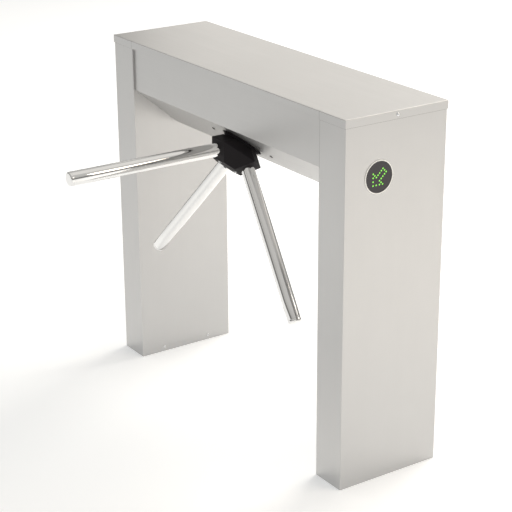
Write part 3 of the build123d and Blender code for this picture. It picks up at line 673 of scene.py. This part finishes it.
def winding_tree():
    turns = int((COIL_LENGTH - 2 * BOBBIN_END) / (2 * WIRE))
    wound_at = (COIL_RADIUS - WIRE) * MM
    grower = Grower("winding", Turns=turns, Pitch=2 * WIRE * MM, Radius=wound_at, Wire=WIRE * MM)
    circle = "GeometryNodeCurvePrimitiveCircle"
    ring = grower.node(circle, {}, {"Resolution": 40, "Radius": grower.size("Radius")})
    section = grower.node(circle, {}, {"Resolution": 8, "Radius": grower.size("Wire")})
    loop = grower.node("GeometryNodeCurveToMesh", {}, {"Curve": ring, "Profile Curve": section})
    step = grower.node("ShaderNodeCombineXYZ", {}, {"Z": grower.size("Pitch")})
    row = grower.node("GeometryNodeMeshLine", {}, {"Count": grower.size("Turns"), "Offset": step})
    coils = grower.node("GeometryNodeInstanceOnPoints", {}, {"Points": row, "Instance": loop})
    grower.close(coils, copper)
    return grower


winding = winding_tree()
bobbin = [
    (BOBBIN_BORE, 0), (COIL_RADIUS, 0), (COIL_RADIUS, BOBBIN_END - 0.4), (BOBBIN_CORE, BOBBIN_END),
    (BOBBIN_CORE, COIL_LENGTH - BOBBIN_END), (COIL_RADIUS, COIL_LENGTH - BOBBIN_END + 0.4),
    (COIL_RADIUS, COIL_LENGTH), (BOBBIN_BORE, COIL_LENGTH), (BOBBIN_BORE, 0),
]
windings, bobbins = [], []
for sign in (1, -1):
    seat = AXIS_FRAME @ Matrix.Translation(Vector((SOLENOID.x * sign, SOLENOID.y, SOLENOID.z)) * MM)
    seat = seat @ Matrix.Rotation(math.radians(-90), 4, "X")
    wire = winding.grow("wire", cloud("wire_start", [(0, 0, 0)]))
    wire.transform(seat @ Matrix.Translation((0, 0, (BOBBIN_END + WIRE) * MM)))
    windings.append(wire)
    bobbins.append(turned("bobbin", bobbin, seat @ Matrix.Scale(MM, 4), 40))
for name, meshes, finish, slot in (
    ("solenoid_windings", windings, copper, "copper_winding"),
    ("solenoid_bobbins", bobbins, nylon, "black_plastic"),
):
    whole = joined(name, meshes)
    finish_mesh(whole, 40)
    piece(name, whole, finish, "cabinet", slot, "solenoid_coils")

# %% [markdown]
# ## Parts on the control board
# A bare board with three blocks is only a stand-in. Rows of small chip parts fill a real one. The tree
# lays a grid over the board, drops a fixed random share of the places and stands a small part on each.

# %% Populate the control board
CHIP_WIDTH, CHIP_DEPTH, CHIP_HEIGHT = 3.2 * MM, 1.6 * MM, 1.1 * MM
COLUMNS, COLUMN_PITCH, FIRST_COLUMN = 10, 5.5 * MM, 8.0 * MM
ROWS, ROW_PITCH, FIRST_ROW = 19, 4.6 * MM, 26.0 * MM
BLOCKS_STAND = 11.6 * MM


def component_tree():
    sizes = {"Width": CHIP_WIDTH, "Depth": CHIP_DEPTH, "Height": CHIP_HEIGHT}
    grower = Grower("components", Share=0.55, Seed=7, **sizes)
    size = grower.node("ShaderNodeCombineXYZ", {}, {
        "X": grower.size("Width"), "Y": grower.size("Height"), "Z": grower.size("Depth")})
    chip = grower.node("GeometryNodeMeshCube", {}, {"Size": size})
    kept = grower.node("FunctionNodeRandomValue", {"data_type": "BOOLEAN"}, {
        "Probability": grower.size("Share"), "Seed": grower.size("Seed")}, 3)
    parts = grower.node("GeometryNodeInstanceOnPoints", {}, {
        "Points": grower.start.outputs["Geometry"], "Selection": kept, "Instance": chip})
    grower.close(parts, black_plastic)
    return grower


board_low, board_high = (Vector(corner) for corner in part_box("control_board"))
chip_middle = board_high.y - BLOCKS_STAND - CHIP_HEIGHT / 2
first_x, first_z = board_low.x + FIRST_COLUMN, board_low.z + FIRST_ROW
rows = [
    Vector((first_x + COLUMN_PITCH * i, chip_middle, first_z + ROW_PITCH * k))
    for i in range(COLUMNS) for k in range(ROWS)
]
chips = component_tree().grow("board_components", cloud("board_places", rows))
piece("board_components", chips, black_plastic, "cabinet", "black_plastic")

# %% [markdown]
# ## Camera
# A long lens from above one end keeps the uprights nearly parallel, as a catalogue view does. The
# camera's axes are given as three unit vectors, which leaves no room for a slip in the angles.

# %% Place the camera
camera_data = bpy.data.cameras.new("catalogue_lens")
camera_data.lens, camera_data.sensor_width = 108.2, 36.0
camera_data.clip_end = 1500.0
camera = bpy.data.objects.new("catalogue_camera", camera_data)
bpy.context.scene.collection.objects.link(camera)
camera_place = (3.364262, -2.309520, 2.006800)
camera_right = (0.561091, 0.827733, -0.005817)
camera_up = (-0.292964, 0.205153, 0.933854)
camera_back = (0.774176, -0.522273, 0.357606)
camera_turn = Matrix((camera_right, camera_up, camera_back)).transposed().to_4x4()
camera.matrix_world = Matrix.Translation(camera_place) @ camera_turn
bpy.context.scene.camera = camera

# %% [markdown]
# ## Studio
# The floor is a wide pale sheet. The sky is a soft grey dome with a bright line at the horizon and a dark
# band above it, so that polished tube has light and dark streaks to mirror. Four large soft lights shape
# the sheet metal: one lights the floor that the end face mirrors, and the others stand over the lid and
# behind.

# %% Lay the floor
floor_mesh = bpy.data.meshes.new("studio_floor")
FLOOR_HALF = 400.0
corners = [(x * FLOOR_HALF, y * FLOOR_HALF, 0) for x, y in ((-1, -1), (1, -1), (1, 1), (-1, 1))]
floor_mesh.from_pydata(corners, [], [(0, 1, 2, 3)])
floor = bpy.data.objects.new("studio_floor", floor_mesh)
bpy.context.scene.collection.objects.link(floor)
paper = Finish("studio_paper", (0.93, 0.93, 0.93), 0.9)
fibre = paper.noise((40.0, 40.0, 40.0))
paper.feed("Base Color", paper.blend(fibre, (0.925, 0.925, 0.925), (0.935, 0.935, 0.935)))
paper.feed("Emission Color", (0.95, 0.98, 1.0, 1.0))
paper.feed("Emission Strength", 0.31)
floor_mesh.materials.append(paper.material)

# %% Light the sky
scene = bpy.context.scene
scene.view_settings.view_transform = "Standard"
world = bpy.data.worlds.new("studio_sky")
world.use_nodes = True
scene.world = world
sky = world.node_tree
direction = sky.nodes.new("ShaderNodeTexCoord")
split = sky.nodes.new("ShaderNodeSeparateXYZ")
dome = sky.nodes.new("ShaderNodeValToRGB")
SKY_STOPS = [(0.0, 1.0), (0.04, 0.95), (0.07, 0.10), (0.15, 0.22), (0.35, 0.80), (0.70, 1.0)]
SKY_TINT = (1.0, 0.985, 0.95)
while len(dome.color_ramp.elements) < len(SKY_STOPS):
    dome.color_ramp.elements.new(0.5)
for element, (position, grey) in zip(dome.color_ramp.elements, SKY_STOPS):
    element.position, element.color = position, (*(grey * channel for channel in SKY_TINT), 1.0)
background = next(n for n in sky.nodes if n.type == "BACKGROUND")
sky.links.new(direction.outputs["Generated"], split.inputs[0])
sky.links.new(split.outputs["Z"], dome.inputs["Fac"])
sky.links.new(dome.outputs["Color"], background.inputs["Color"])
background.inputs["Strength"].default_value = 0.58


# %% Hang the lights
def soft_light(name, place, aim, size, power, colour=(1.0, 0.96, 0.90)):
    data = bpy.data.lights.new(name, "AREA")
    data.shape, data.size, data.energy = "SQUARE", size, power
    data.color = colour
    lamp = bpy.data.objects.new(name, data)
    bpy.context.scene.collection.objects.link(lamp)
    lamp.location = place
    lamp.rotation_euler = (Vector(aim) - Vector(place)).to_track_quat("-Z", "Y").to_euler()
    return lamp


MIDDLE = (0, 0, 0.6)
WARM_WHITE = (1.0, 0.88, 0.74)
soft_light("floor_light", (2.5, 1.7, 2.3), (2.2, 1.5, 0), 2.0, 34, WARM_WHITE)
soft_light("lid_light", (-4.8, 3.7, 2.55), (0, 0, 1.0), 2.5, 20)
soft_light("top_light", (0.0, 0.5, 5.0), MIDDLE, 4.0, 12)
soft_light("back_light", (-1.0, 4.0, 4.0), MIDDLE, 3.0, 160)
